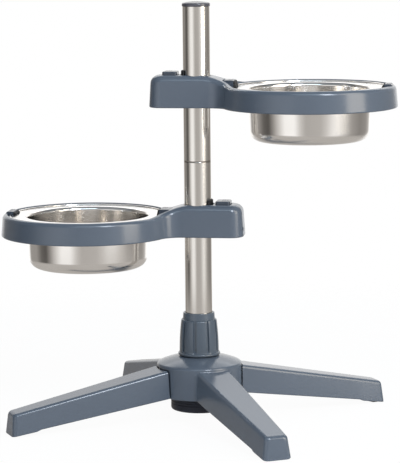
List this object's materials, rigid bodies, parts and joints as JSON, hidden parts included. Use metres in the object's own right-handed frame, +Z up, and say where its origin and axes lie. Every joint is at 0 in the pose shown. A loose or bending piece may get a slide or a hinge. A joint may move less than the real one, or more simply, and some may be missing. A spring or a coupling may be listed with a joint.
{
  "type": "pet feeder stand",
  "caption": "Free-standing pet feeder: a steel pole on a splayed plastic base carries sliding, swivelling ring arms that each hold a lift-out steel bowl and grip by a push-button brake.",
  "frame": {"origin": "on the floor, below the pole's axis", "axes": "+Z up along the pole; +X towards the upper arm's bowl, so the lower arm's bowl is towards -X; the picture looks mostly along +Y"},
  "size_m": [0.5654, 0.5116, 0.5954],
  "materials": {
    "slate_plastic": "satin moulded",
    "dark_slate_plastic": "satin moulded",
    "charcoal_plastic": "matt moulded",
    "soft_black": "matt",
    "pole_steel": "fine brushed along the tube",
    "bowl_steel": "satin polished",
    "bright_hardware": "zinc plated",
    "black_hardware": "black",
    "insert_brass": "turned"
  },
  "bodies": {
    "base": {"base_hub": "slate_plastic", "side_leg_right": "slate_plastic", "side_leg_left": "slate_plastic", "leg_screws": "bright_hardware", "foot_pads": "soft_black", "pole_collet": "charcoal_plastic", "knob_washer": "bright_hardware", "foot_plug": "charcoal_plastic", "plug_insert": "insert_brass", "lower_tube": "pole_steel", "upper_tube": "pole_steel", "tube_spigot": "pole_steel", "top_cap": "dark_slate_plastic"},
    "collar": {"clamp_collar": "slate_plastic"},
    "knob": {"lock_knob": "charcoal_plastic", "knob_stud": "bright_hardware"},
    "upper_slider": {"upper_bush": "charcoal_plastic"},
    "upper_arm": {"upper_arm": "slate_plastic", "upper_cover": "slate_plastic", "upper_end_screws": "black_hardware", "upper_button_spring": "bright_hardware"},
    "upper_button": {"upper_button": "slate_plastic"},
    "upper_shoe": {"upper_shoe": "soft_black"},
    "upper_bowl": {"upper_bowl": "bowl_steel"},
    "upper_near_latch": {"upper_near_latch": "slate_plastic", "upper_near_tip": "soft_black"},
    "upper_far_latch": {"upper_far_latch": "slate_plastic", "upper_far_tip": "soft_black"},
    "lower_slider": {"lower_bush": "charcoal_plastic"},
    "lower_arm": {"lower_arm": "slate_plastic", "lower_cover": "slate_plastic", "lower_end_screws": "black_hardware", "lower_button_spring": "bright_hardware"},
    "lower_button": {"lower_button": "slate_plastic"},
    "lower_shoe": {"lower_shoe": "soft_black"},
    "lower_bowl": {"lower_bowl": "bowl_steel"},
    "lower_near_latch": {"lower_near_latch": "slate_plastic", "lower_near_tip": "soft_black"},
    "lower_far_latch": {"lower_far_latch": "slate_plastic", "lower_far_tip": "soft_black"}
  },
  "joints": [
    {"name": "collar_turn", "type": "hinge", "parent": "base", "child": "collar", "pos_m": [0, 0, 0.1235], "axis": [0, 0, 1], "range_deg": [0, 180]},
    {"name": "knob_turn", "type": "hinge", "parent": "base", "child": "knob", "pos_m": [0, 0, 0.0235], "axis": [0, 0, 1], "range_deg": [0, 360]},
    {"name": "upper_height", "type": "slide", "parent": "base", "child": "upper_slider", "axis": [0, 0, 1], "range_m": [-0.06, 0.08]},
    {"name": "upper_swing", "type": "hinge", "parent": "upper_slider", "child": "upper_arm", "pos_m": [0, 0, 0.4651], "axis": [0, 0, 1], "range_deg": [-40, 40]},
    {"name": "upper_button_press", "type": "slide", "parent": "upper_arm", "child": "upper_button", "axis": [0, 0, -1], "range_m": [0, 0.004], "stiffness_N_per_m": 400, "springref_m": -0.004, "deforming": ["upper_button_spring"]},
    {"name": "upper_shoe_release", "type": "slide", "parent": "upper_arm", "child": "upper_shoe", "axis": [-1, 0, 0], "range_m": [0, 0.0012]},
    {"name": "upper_near_latch_slide", "type": "slide", "parent": "upper_arm", "child": "upper_near_latch", "axis": [1, 0, 0], "range_m": [0, 0.006]},
    {"name": "upper_far_latch_slide", "type": "slide", "parent": "upper_arm", "child": "upper_far_latch", "axis": [-1, 0, 0], "range_m": [0, 0.006]},
    {"name": "upper_bowl_lift", "type": "slide", "parent": "upper_arm", "child": "upper_bowl", "axis": [0, 0, 1], "range_m": [0, 0.08]},
    {"name": "lower_height", "type": "slide", "parent": "base", "child": "lower_slider", "axis": [0, 0, 1], "range_m": [-0.1, 0.06]},
    {"name": "lower_swing", "type": "hinge", "parent": "lower_slider", "child": "lower_arm", "pos_m": [0, 0, 0.282], "axis": [0, 0, 1], "range_deg": [-40, 40]},
    {"name": "lower_button_press", "type": "slide", "parent": "lower_arm", "child": "lower_button", "axis": [0, 0, -1], "range_m": [0, 0.004], "stiffness_N_per_m": 400, "springref_m": -0.004, "deforming": ["lower_button_spring"]},
    {"name": "lower_shoe_release", "type": "slide", "parent": "lower_arm", "child": "lower_shoe", "axis": [1, 0, 0], "range_m": [0, 0.0012]},
    {"name": "lower_near_latch_slide", "type": "slide", "parent": "lower_arm", "child": "lower_near_latch", "axis": [-1, 0, 0], "range_m": [0, 0.006]},
    {"name": "lower_far_latch_slide", "type": "slide", "parent": "lower_arm", "child": "lower_far_latch", "axis": [1, 0, 0], "range_m": [0, 0.006]},
    {"name": "lower_bowl_lift", "type": "slide", "parent": "lower_arm", "child": "lower_bowl", "axis": [0, 0, 1], "range_m": [0, 0.08]}
  ],
  "couplings": [
    {"joint": "upper_shoe_release", "follows": "upper_button_press", "ratio": 0.3},
    {"joint": "lower_shoe_release", "follows": "lower_button_press", "ratio": 0.3}
  ]
}
